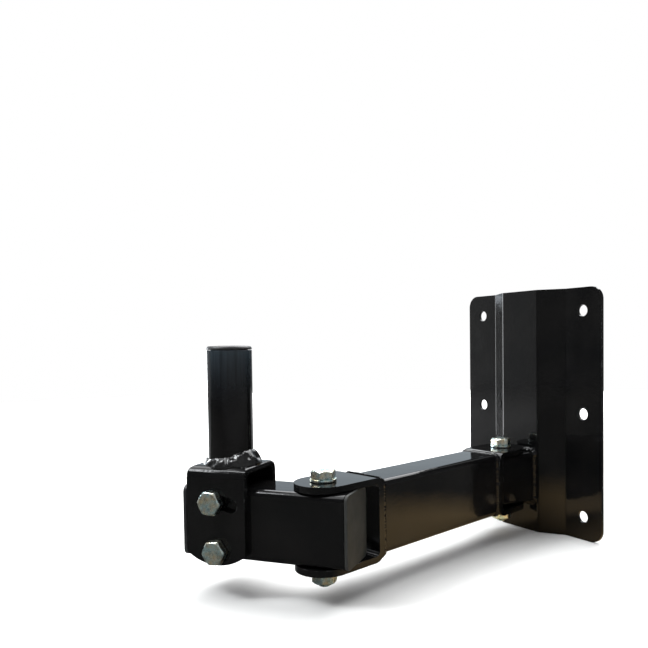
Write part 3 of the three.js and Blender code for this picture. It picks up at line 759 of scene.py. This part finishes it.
def spigot_bead():
    """Heavy, uneven weld round the foot of the spigot, highest on the elbow side."""
    side = UP.cross(OUTER_DIR)
    low, high = span("tilt_head", side)
    centre = (low + high) / 2
    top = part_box("tilt_head")[1].z
    stations = []
    for i in range(FOOT_STEPS):
        angle = 2 * math.pi * i / FOOT_STEPS
        out = OUTER_DIR * math.cos(angle) + side * math.sin(angle)
        more = ((1 - math.cos(angle)) / 2) ** 2
        blob = lump(out * POLE_R, FOOT_BLOB_SEED, FOOT_BLOB_SCALE)
        leg = (FOOT_LEG + FOOT_LEG_MORE * more + FOOT_LEG_BLOB * blob) * MM
        rise = (FOOT_RISE + FOOT_RISE_MORE * more
                + (FOOT_RISE_BLOB + FOOT_RISE_BLOB_MORE * more) * blob) * MM
        foot = POLE_AXIS + out * (POLE_R - FOOT_SINK)
        offset = (foot + out * leg).dot(side) - centre
        ground = head_surface(offset, top, (high - low) / 2, HEAD_BEND)
        stations.append((foot + UP * (ground - FOOT_SINK), out, UP, leg, rise + top - ground))
    bead("spigot_weld_bead", stations, "tilt_head", "spigot_weld", 11, material=SHINY_WELD,
         uneven=0.42, fullness=0.5, ripple=0.08, grain=165)


tube_bead("wall_stub_bead", "wall_stub_weld", "wall_stub", OUTWARD, "wall_base", 1,
          side_leg=2.4 * MM, top_leg=4.2 * MM, along_leg=4 * MM)
tube_bead("wall_strap_bead", "wall_strap_weld", "inner_arm_tube", INNER_DIR, "inner_arm", 2,
          side_leg=1.5 * MM, top_leg=0.9 * MM, along_leg=3 * MM)
tube_bead("elbow_strap_bead", "elbow_strap_weld", "inner_arm_tube", -INNER_DIR, "inner_arm", 3,
          side_leg=1.5 * MM, top_leg=2.8 * MM, along_leg=4 * MM)
spigot_bead()


# ---------------------------------------------------------- kept CAD nodes
BREAK = 0.5 * MM  # width of the broken edge on sheet and tube
SLEEVE_BREAK = 0.25 * MM
PLUG_BREAK = 0.4 * MM
BREAK_SEGMENTS = 2
CAD_EDGE = math.radians(40)  # a CAD edge that turns by more than this is a real one
CAD_FLAT = math.radians(1)
CAD_SAME_POINT = 1e-5


def shade_group():
    """Geometry nodes that shade smooth across bends and keep real edges crisp."""
    group = bpy.data.node_groups.new("smooth_bends", "GeometryNodeTree")
    group.interface.new_socket("Geometry", in_out="INPUT", socket_type="NodeSocketGeometry")
    group.interface.new_socket("Geometry", in_out="OUTPUT", socket_type="NodeSocketGeometry")
    make = group.nodes.new
    start, end = make("NodeGroupInput"), make("NodeGroupOutput")
    faces, edges = make("GeometryNodeSetShadeSmooth"), make("GeometryNodeSetShadeSmooth")
    faces.domain, edges.domain = "FACE", "EDGE"
    angle, soft = make("GeometryNodeInputMeshEdgeAngle"), make("FunctionNodeCompare")
    soft.operation = "LESS_THAN"
    soft.inputs[1].default_value = CAD_EDGE
    link = group.links.new
    link(start.outputs[0], faces.inputs["Geometry"])
    link(faces.outputs[0], edges.inputs["Geometry"])
    link(angle.outputs[0], soft.inputs[0])
    link(soft.outputs[0], edges.inputs["Shade Smooth"])
    link(edges.outputs[0], end.inputs[0])
    return group


SMOOTH_BENDS = shade_group()


def keep(node, material, width=BREAK):
    """Gives a CAD node its finish, and breaks its sharp edges."""
    thing = frame["nodes"][node]
    thing.data.materials.clear()
    thing.data.materials.append(material)
    weld = thing.modifiers.new("join", "WELD")
    weld.merge_threshold = CAD_SAME_POINT
    flat = thing.modifiers.new("flats", "DECIMATE")
    flat.decimate_type = "DISSOLVE"
    flat.angle_limit = CAD_FLAT
    bevel = thing.modifiers.new("broken_edges", "BEVEL")
    bevel.width = width
    bevel.segments = BREAK_SEGMENTS
    bevel.limit_method = "ANGLE"
    bevel.angle_limit = CAD_EDGE
    bevel.use_clamp_overlap = True
    shade = thing.modifiers.new("smooth_bends", "NODES")
    shade.node_group = SMOOTH_BENDS
    thing.modifiers.new("even_normals", "WEIGHTED_NORMAL").keep_sharp = True


for node in ("wall_plate", "wall_stub", "wall_stub_cap", "inner_arm_tube", "wall_strap",
             "elbow_strap", "outer_arm_tube", "tilt_head"):
    keep(node, PAINT)
keep("outer_heel_cap", MATT_PAINT)
for node in ("wall_sleeve", "elbow_sleeve"):
    keep(node, ZINC, SLEEVE_BREAK)
keep("outer_tip_plug", PLASTIC, PLUG_BREAK)


# -------------------------------------------------------- floor and lights
FLOOR_Z = cad_box[0][2] - 0.3 * MM
CENTRE = Vector([(a + b) / 2 for a, b in zip(*cad_box)])
FLOOR_RINGS = (0.25, 0.5, 1.0, 2.1)
FLOOR_STEPS = 96


def make_floor():
    """A pale round floor that fades into the light behind it."""
    rings = [[(0, 0, 0)]] + [circle(radius, 0, FLOOR_STEPS) for radius in FLOOR_RINGS]
    vertices, faces = turned(rings, Matrix.Translation((CENTRE.x, CENTRE.y, FLOOR_Z)))
    mesh = bpy.data.meshes.new("floor")
    mesh.from_pydata([tuple(v) for v in vertices], [], [face[::-1] for face in faces])
    mesh.materials.append(floor_material("pale_floor_painted_reflection"))
    floor = bpy.data.objects.new("floor", mesh)
    bpy.context.collection.objects.link(floor)


# A name in _LEFT or _RIGHT has limits along LEFT, one in _HEIGHT or _SILL along UP, one in
# _FORWARD along OUTWARD, and one in _REACH along BRIGHT_WAY.
ROOM_BRIGHT = (1.0, 1.0, 1.02, 1)
ROOM_DARK = (0.24, 0.24, 0.25, 1)
BRIGHT_WAY = Vector((-0.8, 0.6, 0))  # the side of the room that is brightly lit
BRIGHT_REACH = (0.2, 0.6)
BRIGHT_HEIGHT = (0.75, 0.45)
MIRRORED_DARK = (0.12, 0.12, 0.125, 1)
MIRRORED_SIDE = (0.54, 0.55, 0.56, 1)
MIRRORED_LEFT = (0.625, 0.655)
MIRRORED_RIGHT = (-0.3, -0.9)
MIRRORED_RIGHT_SHARE = 0.6
WINDOW_COLOUR = (0.60, 0.68, 0.74, 1)
WINDOW_REACH = (0.72, 0.9)
WINDOW_SILL = (0.032, 0.052)
LAMP_COLOUR = (6.4, 7.0, 7.6, 1)
LAMP_FORWARD = (0.15, 0.25)
LAMP_LEFT = (0.90, 0.94)
LAMP_SILL = (0.054, 0.066)


def make_world():
    """A plain white backdrop, and a room that lights the bracket from one side.

    The paint mirrors it as a darker room, with paler sides, a window and a bright lamp.
    """
    world = bpy.data.worlds.new("studio")
    bpy.context.scene.world = world
    g = Graph(world)
    way = g.add("ShaderNodeTexCoord").outputs["Generated"]
    facing = g.measure("DOT_PRODUCT", way, BRIGHT_WAY)
    height = g.measure("DOT_PRODUCT", way, UP)
    aside = g.measure("DOT_PRODUCT", way, LEFT)
    forward = g.measure("DOT_PRODUCT", way, OUTWARD)
    low = g.remap(height, *BRIGHT_HEIGHT)
    room = g.blend(g.product(g.remap(facing, *BRIGHT_REACH), low), ROOM_DARK, ROOM_BRIGHT)
    mirrored = g.blend(g.remap(aside, *MIRRORED_LEFT), MIRRORED_DARK, MIRRORED_SIDE)
    right = g.remap(aside, *MIRRORED_RIGHT, 0, MIRRORED_RIGHT_SHARE)
    mirrored = g.blend(right, mirrored, MIRRORED_SIDE)
    window = g.product(g.remap(facing, *WINDOW_REACH), low, g.remap(height, *WINDOW_SILL))
    mirrored = g.blend(window, mirrored, WINDOW_COLOUR)
    lamp = g.product(g.remap(forward, *LAMP_FORWARD), g.remap(aside, *LAMP_LEFT),
                     g.remap(height, *LAMP_SILL))
    mirrored = g.blend(lamp, mirrored, LAMP_COLOUR)
    room = g.by_ray("Is Glossy Ray", room, mirrored)
    g.feed(g.tree.nodes["Background"].inputs["Color"], g.by_ray("Is Camera Ray", room, BACKDROP))


COOL_WHITE = (0.95, 0.98, 1.0)


def softbox(name, place, target, width, height, power, colour=COOL_WHITE):
    """A rectangular lamp that points at a target, and isn't seen itself."""
    data = bpy.data.lights.new(name, "AREA")
    data.shape = "RECTANGLE"
    data.size, data.size_y = width, height
    data.energy = power
    data.color = colour
    lamp = bpy.data.objects.new(name, data)
    bpy.context.collection.objects.link(lamp)
    aim = (Vector(target) - Vector(place)).normalized()
    side = aim.cross(UP).normalized()
    lamp.matrix_world = axes(Vector(place), side, side.cross(aim), -aim)
    lamp.visible_camera = False
    return lamp


def make_lights():
    """Two large overhead lamps, a key, and a strip that only draws lines along the plate's bends."""
    softbox("back_overhead", (-0.95, 0.8, 1.6), (-0.85, 0.65, FLOOR_Z), width=2.6, height=2.6,
            power=105, colour=(0.98, 0.99, 1.0))
    softbox("front_overhead", (-0.25, -0.9, 1.5), (0.0, -0.3, FLOOR_Z), width=1.2, height=1.2,
            power=15, colour=(0.97, 0.99, 1.0))
    strip = softbox("left_strip", (-0.642, -0.349, -0.005), (-0.03, -0.01, -0.005), width=0.17,
                    height=0.4, power=2.7)
    strip.visible_diffuse = False
    softbox("key", (-0.35, -1.15, 1.0), (0, -0.2, -0.03), width=0.35, height=0.35, power=9)


make_floor()
make_world()
make_lights()

bpy.context.scene.view_settings.view_transform = "Standard"
